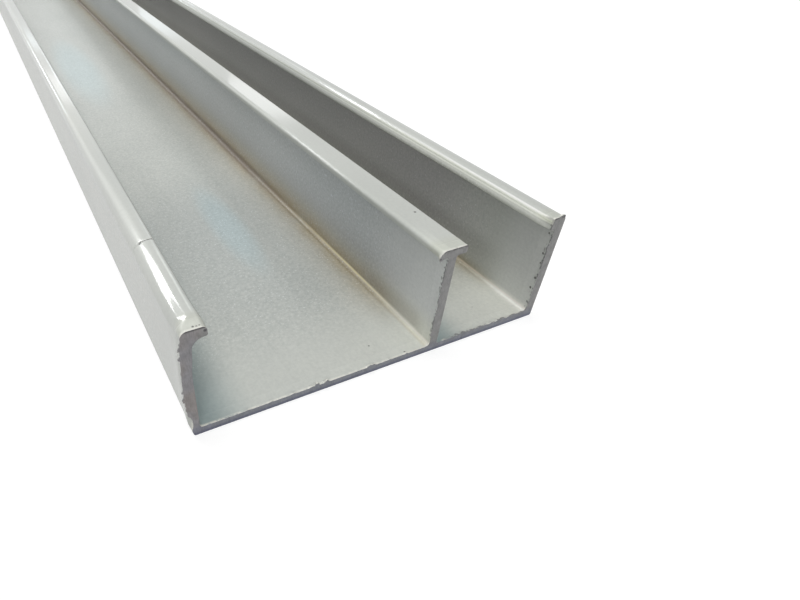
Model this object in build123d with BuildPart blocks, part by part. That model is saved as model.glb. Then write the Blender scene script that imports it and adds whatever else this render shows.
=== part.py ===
from build123d import *
import os

# Aluminium extrusion profile: one open section with a wide and a narrow channel, cut to a stock length.
# Millimetres. X runs across the section, Y along the length, Z up. The origin is the middle of the underside.

# Stock length
stock_length = 1000.0

# Section: a flat base carries three upright walls that part two channels
section_height = 20.0
base_thickness = 1.3
wall_thickness = 1.5
wide_channel = 40.0
narrow_channel = 19.5

# Hook lip at the top of the left wall
lip_overhang = 2.2
lip_thickness = 1.6
lip_tip_radius = 0.7
lip_edge_radius = 0.3
lip_flat = 0.1
lip_outer_radius = 1.0

# Tee cap on the middle wall
cap_left_overhang = 1.5
cap_right_overhang = 1.8
cap_thickness = 1.3
cap_shoulder_radius = 0.7
cap_edge_radius = 0.3

# Bead at the top of the right wall
bead_projection = 0.9
bead_height = 2.2
bead_edge_radius = 0.3
right_shoulder_radius = 0.7

# Small roundings of the die
root_fillet = 0.4
outer_corner_radius = 0.3

# Faces across the section
section_width = 3 * wall_thickness + wide_channel + narrow_channel
left_outer = -section_width / 2
left_inner = left_outer + wall_thickness
middle_left = left_inner + wide_channel
middle_right = middle_left + wall_thickness
right_inner = middle_right + narrow_channel
right_outer = right_inner + wall_thickness

# Edges of the parts that stand into the channel mouths
lip_tip = left_inner + lip_overhang
lip_underside = section_height - lip_thickness
haunch_radius = lip_overhang - lip_edge_radius - lip_flat
cap_left = middle_left - cap_left_overhang
cap_right = middle_right + cap_right_overhang
cap_underside = section_height - cap_thickness
bead_face = right_inner - bead_projection
bead_underside = section_height - bead_height


def block(low_x, low_z, high_x, high_z):
    """Adds a rectangle between two corners to the section."""
    with Locations((low_x, low_z)):
        Rectangle(high_x - low_x, high_z - low_z, align=(Align.MIN, Align.MIN))


def round_corners(radius, *places):
    """Rounds the section's corners at these places, inner and outer ones alike."""
    corners = [vertices().sort_by_distance((x, z, 0))[0] for x, z in places]
    fillet(corners, radius)


with BuildPart() as extrusion:
    with BuildSketch(Plane.XZ) as section:
        # Base and walls
        block(left_outer, 0, right_outer, base_thickness)
        block(left_outer, 0, left_inner, section_height)
        block(middle_left, 0, middle_right, section_height)
        block(right_inner, 0, right_outer, section_height)

        # Lip, cap and bead
        block(left_outer, lip_underside, lip_tip, section_height)
        block(cap_left, cap_underside, cap_right, section_height)
        block(bead_face, bead_underside, right_outer, section_height)

        # Hook lip: round tip, a haunch that takes up the rest of its underside, and a soft outer shoulder
        round_corners(lip_tip_radius, (lip_tip, section_height))
        round_corners(lip_edge_radius, (lip_tip, lip_underside))
        round_corners(haunch_radius, (left_inner, lip_underside))
        round_corners(lip_outer_radius, (left_outer, section_height))

        # Tee cap: soft shoulder over the wide channel, small roundings elsewhere
        round_corners(cap_shoulder_radius, (cap_left, section_height))
        round_corners(cap_edge_radius, (cap_left, cap_underside))
        round_corners(cap_edge_radius, (cap_right, section_height), (cap_right, cap_underside))
        round_corners(root_fillet, (middle_left, cap_underside), (middle_right, cap_underside))

        # Bead and the right wall's shoulder
        round_corners(bead_edge_radius, (bead_face, section_height), (bead_face, bead_underside))
        round_corners(root_fillet, (right_inner, bead_underside))
        round_corners(right_shoulder_radius, (right_outer, section_height))

        # Roots of the walls and the underside's two long corners
        for face in (left_inner, middle_left, middle_right, right_inner):
            round_corners(root_fillet, (face, base_thickness))
        round_corners(outer_corner_radius, (left_outer, 0), (right_outer, 0))
    extrude(amount=stock_length / 2, both=True)

extrusion.part.label = "extrusion"
os.makedirs("parts", exist_ok=True)
export_step(extrusion.part, "parts/extrusion.step")
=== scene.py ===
import math
from collections import namedtuple

import bpy
import numpy as np
from mathutils import Matrix, Vector, geometry, noise


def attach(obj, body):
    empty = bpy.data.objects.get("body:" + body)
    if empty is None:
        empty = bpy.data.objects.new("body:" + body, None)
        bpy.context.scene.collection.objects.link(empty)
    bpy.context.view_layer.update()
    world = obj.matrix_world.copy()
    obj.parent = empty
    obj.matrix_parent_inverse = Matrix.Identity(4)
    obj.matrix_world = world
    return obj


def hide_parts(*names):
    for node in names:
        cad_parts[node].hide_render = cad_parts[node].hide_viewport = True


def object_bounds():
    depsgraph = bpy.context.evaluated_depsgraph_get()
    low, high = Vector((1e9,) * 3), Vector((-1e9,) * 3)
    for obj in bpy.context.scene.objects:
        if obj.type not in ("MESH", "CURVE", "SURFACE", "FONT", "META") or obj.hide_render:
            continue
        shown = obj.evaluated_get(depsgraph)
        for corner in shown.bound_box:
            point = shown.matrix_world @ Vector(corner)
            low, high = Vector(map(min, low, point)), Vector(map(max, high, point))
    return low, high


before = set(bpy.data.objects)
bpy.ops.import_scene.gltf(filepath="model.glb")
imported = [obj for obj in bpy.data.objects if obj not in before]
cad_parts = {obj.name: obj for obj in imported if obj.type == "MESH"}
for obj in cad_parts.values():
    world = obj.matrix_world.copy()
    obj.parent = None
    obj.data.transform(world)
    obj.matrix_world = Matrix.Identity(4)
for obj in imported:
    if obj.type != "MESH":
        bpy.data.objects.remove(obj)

# Aluminium extrusion profile, seen from beside its sawn near end.
# The section and its deformations are worked out in millimetres and put into the scene in metres.
MM = 0.001

cad_low, cad_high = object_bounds()
HALF_WIDTH = cad_high.x / MM
HEIGHT = cad_high.z / MM
LENGTH = (cad_high.y - cad_low.y) / MM
NEAR_END = cad_low.y / MM

# Section
BASE = 1.3
WALL = 1.5
WIDE_CHANNEL = 40.0
ROOT = 0.4
MIDDLE_ROOT = 0.75
RIGHT_ROOT = 0.7
LIP_OVERHANG = 2.2
LIP_THICKNESS = 1.6
LIP_TIP_RADIUS = 0.7
LIP_EDGE_RADIUS = 0.3
LIP_OUTER_RADIUS = 1.0
HAUNCH_RADIUS = 1.8
CAP_LEFT_OVERHANG = 1.5
CAP_RIGHT_OVERHANG = 1.8
CAP_THICKNESS = 1.3
CAP_SHOULDER_RADIUS = 0.7
CAP_EDGE_RADIUS = 0.3
BEAD_PROJECTION = 0.9
BEAD_HEIGHT = 2.2
BEAD_EDGE_RADIUS = 0.3
RIGHT_SHOULDER_RADIUS = 0.7
OUTER_CORNER_RADIUS = 0.3

LEFT_INNER = -HALF_WIDTH + WALL
MIDDLE_LEFT = LEFT_INNER + WIDE_CHANNEL
MIDDLE_RIGHT = MIDDLE_LEFT + WALL
RIGHT_INNER = HALF_WIDTH - WALL
LIP_TIP = LEFT_INNER + LIP_OVERHANG
LIP_UNDERSIDE = HEIGHT - LIP_THICKNESS
CAP_LEFT = MIDDLE_LEFT - CAP_LEFT_OVERHANG
CAP_RIGHT = MIDDLE_RIGHT + CAP_RIGHT_OVERHANG
CAP_UNDERSIDE = HEIGHT - CAP_THICKNESS
BEAD_FACE = RIGHT_INNER - BEAD_PROJECTION
BEAD_UNDERSIDE = HEIGHT - BEAD_HEIGHT

# How finely the section is divided: along flats, round arcs, and over the sawn faces
FLAT_STEP = 0.22
ARC_STEPS = 10
NEAR_FACE_STEP = 0.13
FAR_FACE_STEP = 0.4

# A score across the lip, and its nick, whose middle lies this far in from the outer face
SCORE_PLACE = 22.72
SCORE_DEPTH = 0.06
SCORE_HALF_WIDTH = 0.09
NICK_DEPTH = 0.14
NICK_INSET = 0.5

# Distances from the near end at which the section is set out, closest together at the cut and the score
STATIONS_BY_CUT = (
    0.0, 0.05, 0.11, 0.18, 0.27, 0.38, 0.52, 0.7, 0.95, 1.3, 1.8, 2.5, 3.5, 5.0, 7.0, 9.5, 13.0, 18.0, 21.5,
)
STEPS_FROM_SCORE = (-0.52, -0.22, -0.1, -0.02, 0.04, 0.1, 0.18, 0.33, 0.68)
STATIONS_ALONG = (
    25.0, 30.0, 36.0, 43.0, 50.0, 58.0, 68.0, 90.0, 140.0, 210.0, 300.0, 420.0, 560.0, 720.0, 880.0,
)
STEPS_BEFORE_FAR_END = (10.0, 1.0, 0.5, 0.2, 0.0)
STATIONS = (
    *STATIONS_BY_CUT,
    *(SCORE_PLACE + step for step in STEPS_FROM_SCORE),
    *STATIONS_ALONG,
    *(LENGTH - step for step in STEPS_BEFORE_FAR_END),
)


def smooth(value, start, end):
    """0 at start, 1 at end and an even S between them, whichever of the two is larger."""
    t = np.clip((value - start) / (end - start), 0.0, 1.0)
    return t * t * (3.0 - 2.0 * t)


def between(value, start, full, full_end, end):
    """Rises from 0 at start to 1 at full, and falls from 1 at full_end to 0 at end."""
    return smooth(value, start, full) * smooth(value, end, full_end)


def section_corners():
    """Corners of the section, anticlockwise from the lower left: (x, z, radius)."""
    return [
        (-HALF_WIDTH, 0.0, OUTER_CORNER_RADIUS),
        (HALF_WIDTH, 0.0, OUTER_CORNER_RADIUS),
        (HALF_WIDTH, HEIGHT, RIGHT_SHOULDER_RADIUS),
        (BEAD_FACE, HEIGHT, BEAD_EDGE_RADIUS),
        (BEAD_FACE, BEAD_UNDERSIDE, BEAD_EDGE_RADIUS),
        (RIGHT_INNER, BEAD_UNDERSIDE, ROOT),
        (RIGHT_INNER, BASE, RIGHT_ROOT),
        (MIDDLE_RIGHT, BASE, ROOT),
        (MIDDLE_RIGHT, CAP_UNDERSIDE, ROOT),
        (CAP_RIGHT, CAP_UNDERSIDE, CAP_EDGE_RADIUS),
        (CAP_RIGHT, HEIGHT, CAP_EDGE_RADIUS),
        (CAP_LEFT, HEIGHT, CAP_SHOULDER_RADIUS),
        (CAP_LEFT, CAP_UNDERSIDE, CAP_EDGE_RADIUS),
        (MIDDLE_LEFT, CAP_UNDERSIDE, ROOT),
        (MIDDLE_LEFT, BASE, MIDDLE_ROOT),
        (LEFT_INNER, BASE, ROOT),
        (LEFT_INNER, LIP_UNDERSIDE, HAUNCH_RADIUS),
        (LIP_TIP, LIP_UNDERSIDE, LIP_EDGE_RADIUS),
        (LIP_TIP, HEIGHT, LIP_TIP_RADIUS),
        (-HALF_WIDTH, HEIGHT, LIP_OUTER_RADIUS),
    ]


def section_outline():
    """Points round the section with rounded corners, and the outward direction at each."""
    corners = section_corners()
    points, outward = [], []
    for i, (x, z, radius) in enumerate(corners):
        here = np.array((x, z))
        back = np.array(corners[i - 1][:2]) - here
        ahead_corner = corners[(i + 1) % len(corners)]
        ahead = np.array(ahead_corner[:2]) - here
        to_back, to_ahead = back / np.linalg.norm(back), ahead / np.linalg.norm(ahead)
        centre = here + radius * (to_back + to_ahead)
        turns_left = to_ahead[1] * to_back[0] - to_ahead[0] * to_back[1] < 0
        side = 1.0 if turns_left else -1.0
        for k in range(ARC_STEPS + 1):
            angle = math.pi / 2 * k / ARC_STEPS
            spoke = -(to_ahead * math.cos(angle) + to_back * math.sin(angle))
            points.append(centre + radius * spoke)
            outward.append(side * spoke)
        start = here + to_ahead * radius
        end = np.array(ahead_corner[:2]) - to_ahead * ahead_corner[2]
        pieces = max(1, round(np.linalg.norm(end - start) / FLAT_STEP))
        for k in range(1, pieces):
            points.append(start + (end - start) * k / pieces)
            outward.append(outward[-1])
    return np.array(points), np.array(outward)


# Burrs: what the saw pushed out of the faces it left by.
# SHARP is the width of a hard end, and the other two lie above and to the left of the whole section.
SHARP = 0.001
ABOVE = HEIGHT + 1.0
FAR_LEFT = -HALF_WIDTH - 1.0

# Burrs on faces that look left: the two x they lie between, where in z they start, are full and end,
# and the height
WALL_BURRS = (
    (FAR_LEFT, LEFT_INNER, (4.0, 5.0, 19.2 - SHARP, 19.2), 0.15),
    (FAR_LEFT, LEFT_INNER, (13.2, 14.4, 17.8, 19.2), 0.5),
    (FAR_LEFT, LEFT_INNER, (5.0, 6.0, 9.0, 10.5), 0.45),
    (MIDDLE_LEFT - 0.5, MIDDLE_LEFT + 0.5, (2.0, 4.0, CAP_UNDERSIDE - 2.2, CAP_UNDERSIDE - 0.6), 0.5),
    (CAP_LEFT - 0.5, CAP_LEFT + 0.5, (CAP_UNDERSIDE, CAP_UNDERSIDE + SHARP, ABOVE, ABOVE + SHARP), 0.35),
    (BEAD_FACE - 0.1, RIGHT_INNER + 0.1, (2.0, 4.0, BEAD_UNDERSIDE - 2.0, BEAD_UNDERSIDE - 0.6), 0.65),
)

# Burrs on the base: the x at which they start and are full, and the height
BASE_BURRS = (
    (15.0, 19.0, 0.34),
    (MIDDLE_RIGHT, MIDDLE_RIGHT + 1.0, 0.14),
    (MIDDLE_LEFT, MIDDLE_LEFT - SHARP, 0.07),
)

# Single bumps on the base, and one on the right wall's top: x, height and half width
BUMPS_ON_BASE = (
    (-23.4, 0.14, 0.5), (-19.5, 0.16, 0.4), (-15.8, 0.22, 0.5), (-12.5, 0.25, 0.6), (-11.7, 0.85, 0.42),
    (-10.0, 0.75, 0.36), (-2.2, 0.62, 0.36), (-1.6, 0.5, 0.6), (1.7, 0.24, 0.22), (5.0, 0.34, 0.24),
    (16.5, 0.60, 0.26), (20.2, 0.32, 0.5), (21.4, 0.34, 0.3), (22.7, 0.5, 0.26), (24.1, 0.45, 0.3),
    (25.4, 0.42, 0.3), (27.6, 0.36, 0.6), (29.4, 0.3, 0.3),
)
BUMP_ON_RIGHT_TOP = (31.25, 0.36, 0.6)

# Unevenness along the burrs: bump size and seed of each kind, the kinds' shares, and how far the burrs reach
ROUGH = (0.55, 3.0)
FINE = (0.22, 9.0)
CRUMBS = (0.85, 14.0)
CRUMB_GROUPS = (1.955, 33.0)
FAR_ROUGH = (0.55, 21.0)
CRUMB_THRESHOLD = (0.54, 0.66)
ROUGH_SHARE, FINE_SHARE, CRUMB_SHARE = 0.3, 0.35, 0.84
BURR_REACH = 0.7
BURR_OVERHANG = 0.35
FAR_BURR = 0.06


def ragged(along, size, seed):
    """Uneven heights from 0 to 1 at places along an edge, for bumps of about this size."""
    broad = np.array([noise.noise(Vector((place / size, seed, 0.0))) for place in along])
    sharp = np.array([noise.noise(Vector((place / size * 3, seed, 5.0))) for place in along])
    return (0.5 + 0.5 * broad + 0.25 * sharp).clip(0.0, 1.0)


def bump_shape(x, place, height, half_width):
    """Height of a single blunt bump at each x."""
    return height * np.clip(1.0 - np.abs((x - place) / half_width) ** 3, 0.0, 1.0)


def burr_heights(points, outward, along):
    """How far the saw pushed each point of the near end outwards."""
    x, z = points.T
    faces_left = np.clip(-outward[:, 0], 0.0, 1.0) ** 2
    faces_up = np.clip(outward[:, 1], 0.0, 1.0) ** 2
    on_base = (np.abs(z - BASE) < 0.1) * faces_up

    room = np.zeros(len(x))
    for low, high, stretch, height in WALL_BURRS:
        room += height * (x > low) * (x < high) * between(z, *stretch) * faces_left
    for start, full, height in BASE_BURRS:
        room += height * smooth(x, start, full) * on_base

    rough = ragged(along, *ROUGH) ** 1.5
    fine = ragged(along, *FINE) ** 2
    crumbs = smooth(ragged(along, *CRUMBS), *CRUMB_THRESHOLD) * ragged(along, *CRUMB_GROUPS)
    heights = room * (ROUGH_SHARE * rough + FINE_SHARE * fine + CRUMB_SHARE * crumbs)
    for bump in BUMPS_ON_BASE:
        heights = np.maximum(heights, on_base * bump_shape(x, *bump))
    on_top = (z > HEIGHT - 0.5) * faces_up
    return np.maximum(heights, on_top * bump_shape(x, *BUMP_ON_RIGHT_TOP))


# The sawn end: left wall bowed outwards with a bent-down lip and a chip low outside, cap hooked at its left
LEFT_WALL_END = (LEFT_INNER + 1.4, LEFT_INNER + 0.1)
LIP_END = (LIP_TIP + 0.6, LIP_TIP + 0.2)
WALL_BOW = 0.45
BOW_HEIGHTS = (0.0, 2.0, 11.0, 16.5)
BOW_REACH = 7.0
LIP_DROOP = 0.35
LIP_PULL = 0.2
LIP_BEND_HEIGHTS = (16.0, 18.6)
DROOP_REACH = 2.2
HOOK_DROOP = 0.4
HOOK_OUT = 0.12
HOOK_WIDTH = 0.9
HOOK_REACH = 0.8
CHIP_DEPTH = 0.55
CHIP_HEIGHTS = (0.8, 2.2, 3.6, 4.6)
CHIP_REACH = 0.9

# Away from the cut the lip's outer shoulder and the bead's upper edge are rounder than the sawn end shows,
# and the bead leans outwards and widens
LONG_FORM_REACH = (0.5, 2.6)
LONG_SHOULDER_RADIUS = 2.3
FACE_BELOW_SHOULDER = 10.0
CRISPER_BEHIND_SCORE = 0.75
CRISPER_REACH = 45.0
LONG_BEAD_RADIUS = 0.8
FACE_BELOW_BEAD_EDGE = BEAD_UNDERSIDE + BEAD_EDGE_RADIUS + 0.05
BEAD_LEAN = 0.35
BEAD_LEAN_LOW = BEAD_UNDERSIDE + 0.4
BEAD_WIDENING = 0.35
BEAD_WIDENING_REACH = (15.0, 70.0)

# How far a point may lie off a face or an arc and still count as on it
SLACK = 0.01


def lip_share(x, z):
    """1 on the lip over the left wall, and 0 below it and to its right."""
    return smooth(x, *LIP_END) * smooth(z, *LIP_BEND_HEIGHTS)


def bowed_wall(x, z, s, outward):
    """The left wall bows outwards at the cut, and its lip is pulled inwards and droops."""
    on_lip = lip_share(x, z)
    outwards = WALL_BOW * between(z, *BOW_HEIGHTS) * smooth(x, *LEFT_WALL_END)
    dx = (LIP_PULL * on_lip - outwards) * smooth(s, BOW_REACH, 0.0)
    return dx, -LIP_DROOP * on_lip * smooth(s, DROOP_REACH, 0.0)


def hooked_cap(x, z, s, outward):
    """The cap's left end is bent down and out at the cut."""
    on_cap = (z > CAP_UNDERSIDE - 0.1) * (x > CAP_LEFT - 1.0) * (x < MIDDLE_LEFT)
    hook = on_cap * smooth(x, CAP_LEFT + HOOK_WIDTH, CAP_LEFT) * smooth(s, HOOK_REACH, 0.0)
    return -HOOK_OUT * hook, -HOOK_DROOP * hook


def chipped_face(x, z, s, outward):
    """A chip is missing low on the left wall's outer face."""
    outer_face = np.clip(-outward[:, 0], 0.0, 1.0) * (x < LEFT_INNER - 1.0)
    dx = CHIP_DEPTH * between(z, *CHIP_HEIGHTS) * outer_face * smooth(s, CHIP_REACH, 0.0)
    return dx, np.zeros_like(dx)


def scored_lip(x, z, s, outward):
    """A shallow score runs across the lip's top and ends in a nick at its outer shoulder."""
    valley = math.exp(-((s - SCORE_PLACE) / SCORE_HALF_WIDTH) ** 2)
    top = np.clip(outward[:, 1], 0.0, 1.0)
    shoulder = np.exp(-((x + HALF_WIDTH - NICK_INSET) / NICK_INSET) ** 2)
    dz = -(SCORE_DEPTH * top + NICK_DEPTH * shoulder) * lip_share(x, z) * valley
    return np.zeros_like(dz), dz


def rounder_edge(x, z, outward, face_x, old_radius, new_radius, flat_end, face_low):
    """Moves that open the rounding between a left face and the top to a larger radius."""
    centre_x, centre_z = face_x + new_radius, HEIGHT - new_radius
    arc_end_x, arc_end_z = face_x + old_radius, HEIGHT - old_radius
    on_arc = (x > face_x - SLACK) & (x < arc_end_x + SLACK) & (z > arc_end_z - SLACK)
    on_flat = (z > HEIGHT - SHARP) & (x >= arc_end_x) & (x < flat_end)
    on_face = (np.abs(x - face_x) < SLACK) & (z > face_low) & (z <= arc_end_z)
    new_x, new_z = x.copy(), z.copy()
    new_x[on_arc] = centre_x + new_radius * outward[on_arc, 0]
    new_z[on_arc] = centre_z + new_radius * outward[on_arc, 1]
    share = (x[on_flat] - arc_end_x) / (flat_end - arc_end_x)
    new_x[on_flat] = centre_x + share * (flat_end - centre_x)
    share = (z[on_face] - face_low) / (arc_end_z - face_low)
    new_z[on_face] = face_low + share * (centre_z - face_low)
    return new_x - x, new_z - z


def rounder_shoulder(x, z, s, outward):
    """The lip's outer shoulder is rounder between the cut and the score, and less so behind it."""
    dx, dz = rounder_edge(
        x, z, outward, -HALF_WIDTH, LIP_OUTER_RADIUS, LONG_SHOULDER_RADIUS, LIP_TIP - LIP_TIP_RADIUS,
        FACE_BELOW_SHOULDER,
    )
    share = 1.0 - CRISPER_BEHIND_SCORE * smooth(s, SCORE_PLACE, SCORE_PLACE + CRISPER_REACH)
    share *= smooth(s, *LONG_FORM_REACH)
    return dx * share, dz * share


def rounder_bead(x, z, s, outward):
    """The bead has a rounder upper edge away from the cut, leans outwards and widens."""
    dx, dz = rounder_edge(
        x, z, outward, BEAD_FACE, BEAD_EDGE_RADIUS, LONG_BEAD_RADIUS, HALF_WIDTH - RIGHT_SHOULDER_RADIUS,
        FACE_BELOW_BEAD_EDGE,
    )
    share = smooth(s, *LONG_FORM_REACH)
    beside_bead = (x > BEAD_FACE - 0.1) * (z > BEAD_UNDERSIDE - 0.6)
    on_bead = smooth(x, RIGHT_INNER - 0.1, BEAD_FACE + 0.1) * beside_bead
    lean = BEAD_LEAN * smooth(z, HEIGHT, BEAD_LEAN_LOW) * share
    widening = BEAD_WIDENING * smooth(s, *BEAD_WIDENING_REACH)
    return dx * share - (lean + widening) * on_bead, dz * share


# Each gives the moves across and up of the outline's points at a distance s from the near end
DEFORMATIONS = (bowed_wall, hooked_cap, chipped_face, scored_lip, rounder_shoulder, rounder_bead)


def swept_rings(points, outward):
    """The section's outline at every station, as an array of stations by points by xyz, in millimetres."""
    lengths = np.linalg.norm(np.roll(points, -1, 0) - points, axis=1)
    along = np.concatenate(([0.0], np.cumsum(lengths)[:-1]))
    near_burr = burr_heights(points, outward, along)
    far_burr = FAR_BURR * ragged(along, *FAR_ROUGH) * np.clip(outward[:, 1] - outward[:, 0], 0.0, 1.0)
    rings = []
    for s in STATIONS:
        moves = [deform(points[:, 0], points[:, 1], s, outward) for deform in DEFORMATIONS]
        push = near_burr * smooth(s, BURR_REACH, 0.0) + far_burr * smooth(LENGTH - s, BURR_REACH, 0.0)
        rings.append(np.stack([
            points[:, 0] + sum(dx for dx, _ in moves) + outward[:, 0] * push,
            np.full(len(points), NEAR_END + s),
            points[:, 1] + sum(dz for _, dz in moves) + outward[:, 1] * push,
        ], axis=1))
    rings[0][:, 1] -= BURR_OVERHANG * near_burr
    return np.array(rings)


# Grid over the sawn faces, in shares of its step: the rows' spacing, and how far it stays off the outline
ROW_SHARE = 0.87
CLEARANCE_SHARE = 0.6

# Relief of the sawn faces: slanted ridges left by the teeth, and broad unevenness
RIDGE_SPACING = 0.42
RIDGE_HEIGHT = 0.022
RIDGE_SLANT = (0.94, 0.34)
RIDGE_STRETCH = 0.15
UNEVEN_SIZE = 1.6
UNEVEN_HEIGHT = 0.03
NEAR_SEED = 1.0
FAR_SEED = 2.0


def inside_points(ring, step):
    """A staggered grid of points inside the closed outline, clear of it."""
    outline = ring[:, [0, 2]]
    xs = np.arange(-HALF_WIDTH, HALF_WIDTH, step)
    zs = np.arange(0.0, HEIGHT, step * ROW_SHARE)
    grid_x, grid_z = np.meshgrid(xs, zs)
    grid_x = grid_x + (np.arange(len(zs)) % 2)[:, None] * step / 2
    grid = np.stack([grid_x.ravel(), grid_z.ravel()], axis=1)
    inside = np.zeros(len(grid), bool)
    nearest = np.full(len(grid), np.inf)
    for a, b in zip(outline, np.roll(outline, -1, 0)):
        crosses = (a[1] > grid[:, 1]) != (b[1] > grid[:, 1])
        if a[1] != b[1]:
            inside ^= crosses & (grid[:, 0] < a[0] + (grid[:, 1] - a[1]) / (b[1] - a[1]) * (b[0] - a[0]))
        nearest = np.minimum(nearest, (grid[:, 0] - a[0]) ** 2 + (grid[:, 1] - a[1]) ** 2)
    return grid[inside & (nearest > (step * CLEARANCE_SHARE) ** 2)]


def saw_relief(places, seed):
    """How far a sawn face stands out at each place, in millimetres."""
    out = []
    for x, z in places:
        slant = x * RIDGE_SLANT[0] + z * RIDGE_SLANT[1]
        across = noise.noise(Vector((slant / RIDGE_SPACING, z * RIDGE_STRETCH, seed)))
        broad = noise.noise(Vector((x / UNEVEN_SIZE, z / UNEVEN_SIZE, seed + 7.0)))
        out.append(RIDGE_HEIGHT * across + UNEVEN_HEIGHT * broad)
    return np.array(out)


def sawn_face(ring, step, seed, outward_sign):
    """Inner points and triangles of a sawn end, indexed with the ring's points first."""
    inner = inside_points(ring, step)
    count = len(ring)
    places = [Vector((p[0], p[2])) for p in ring] + [Vector(p) for p in inner]
    edges = [(i, (i + 1) % count) for i in range(count)]
    _, _, triangles, origins, _, _ = geometry.delaunay_2d_cdt(places, edges, [], 1, 1e-7)
    index = [group[0] for group in origins]
    triangles = [[index[v] for v in triangle] for triangle in triangles]
    depth = ring[:, 1].mean() + outward_sign * saw_relief(inner, seed)
    return np.stack([inner[:, 0], depth, inner[:, 1]], axis=1), triangles


def swept_faces(count):
    """Quads between the rings, each ring having this many points."""
    faces = []
    for low in range(0, (len(STATIONS) - 1) * count, count):
        for i in range(count):
            j = (i + 1) % count
            faces.append((low + i, low + j, low + count + j, low + count + i))
    return faces


def renumbered(triangles, count, ring_start, inner_start):
    """A sawn face's triangles, numbered as in the whole mesh."""
    return [
        tuple(ring_start + v if v < count else inner_start + v - count for v in triangle)
        for triangle in triangles
    ]


def sharpen_rims(mesh, count, ring_starts):
    """Sharp edges where the sawn faces meet the sides."""
    rim = {frozenset((start + i, start + (i + 1) % count)) for start in ring_starts for i in range(count)}
    for edge in mesh.edges:
        if frozenset(edge.vertices) in rim:
            edge.use_edge_sharp = True


def build_extrusion():
    """The profile as one closed mesh: swept outline and two sawn faces."""
    points, outward = section_outline()
    rings = swept_rings(points, outward)
    count = len(points)
    near_inner, near_triangles = sawn_face(rings[0], NEAR_FACE_STEP, NEAR_SEED, -1.0)
    far_inner, far_triangles = sawn_face(rings[-1], FAR_FACE_STEP, FAR_SEED, 1.0)
    far_triangles = [triangle[::-1] for triangle in far_triangles]
    near_start = len(STATIONS) * count
    far_start = near_start + len(near_inner)
    far_ring = near_start - count

    vertices = np.concatenate([rings.reshape(-1, 3), near_inner, far_inner])
    sides = swept_faces(count)
    ends = renumbered(near_triangles, count, 0, near_start)
    ends += renumbered(far_triangles, count, far_ring, far_start)
    slots = np.repeat(np.array((0, 1), np.int32), (len(sides), len(ends)))
    mesh = bpy.data.meshes.new("extrusion_detailed")
    mesh.from_pydata((vertices * MM).tolist(), [], sides + ends)
    mesh.polygons.foreach_set("use_smooth", np.ones(len(mesh.polygons), bool))
    mesh.polygons.foreach_set("material_index", slots)
    mesh.update()
    sharpen_rims(mesh, count, (0, far_ring))
    return bpy.data.objects.new("extrusion_detailed", mesh)


def set_or_link(tree, socket, value):
    """Gives a socket a value, or links it to another node's socket."""
    if isinstance(value, bpy.types.NodeSocket):
        tree.links.new(value, socket)
    else:
        socket.default_value = value


def make_node(tree, kind, settings=None, **inputs):
    """Adds a shader node. Settings are its own properties; inputs are values or sockets by input name."""
    node = tree.nodes.new(kind)
    for name, value in (settings or {}).items():
        setattr(node, name, value)
    for name, value in inputs.items():
        set_or_link(tree, node.inputs[name.replace("_", " ")], value)
    return node


def math_of(tree, operation, *values):
    """The result of a Math node over values or sockets."""
    node = make_node(tree, "ShaderNodeMath", {"operation": operation})
    for socket, value in zip(node.inputs, values):
        set_or_link(tree, socket, value)
    return node.outputs[0]


def product(tree, *values):
    """All the values multiplied together."""
    result = values[0]
    for value in values[1:]:
        result = math_of(tree, "MULTIPLY", result, value)
    return result


def weighted_sum(tree, values, weights):
    """The sum of sockets, each multiplied by its weight."""
    terms = [math_of(tree, "MULTIPLY", value, weight) for value, weight in zip(values, weights)]
    result = terms[0]
    for term in terms[1:]:
        result = math_of(tree, "ADD", result, term)
    return result


def vector_of(tree, operation, vector, other, output):
    """A result of a Vector Math node over a socket and three numbers."""
    node = make_node(tree, "ShaderNodeVectorMath", {"operation": operation})
    tree.links.new(vector, node.inputs[0])
    node.inputs[1].default_value = other
    return node.outputs[output]


def ramp_of(tree, value, places, colours):
    """A colour that goes from the first to the second between two places of a 0 to 1 value."""
    node = make_node(tree, "ShaderNodeValToRGB", Fac=value)
    for element, place, colour in zip(node.color_ramp.elements, places, colours):
        element.position = place
        element.color = (*colour, 1.0)
    return node.outputs["Color"]


def mixed(tree, blend, amount, colour, other, label=""):
    """Colour blended with another by the amount."""
    node = make_node(tree, "ShaderNodeMix", {"data_type": "RGBA", "blend_type": blend, "label": label})
    factor, first, second = node.inputs["Factor"], node.inputs[6], node.inputs[7]
    set_or_link(tree, factor, amount)
    set_or_link(tree, first, colour)
    set_or_link(tree, second, other if isinstance(other, bpy.types.NodeSocket) else (*other, 1.0))
    return node.outputs[2]


def millimetres(tree, x=1.0, y=1.0, z=1.0):
    """The surface place in millimetres, stretched by the given factors."""
    place = make_node(tree, "ShaderNodeTexCoord").outputs["Object"]
    return vector_of(tree, "MULTIPLY", place, (x / MM, y / MM, z / MM), "Vector")


def noise_of(tree, kind, **stretch):
    """Smooth noise from 0 to 1, of a kind given as features to the millimetre, detail and roughness."""
    scale, detail, roughness = kind
    node = make_node(
        tree, "ShaderNodeTexNoise", Vector=millimetres(tree, **stretch), Scale=scale, Detail=detail,
        Roughness=roughness,
    )
    return node.outputs["Fac"]


def fade(tree, value, start, end):
    """0 at start, 1 at end and an even S between them, whichever of the two is larger."""
    node = make_node(
        tree, "ShaderNodeMapRange", {"interpolation_type": "SMOOTHSTEP"}, Value=value,
        From_Min=min(start, end), From_Max=max(start, end),
        To_Min=0.0 if start < end else 1.0, To_Max=1.0 if start < end else 0.0,
    )
    return node.outputs["Result"]


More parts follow.
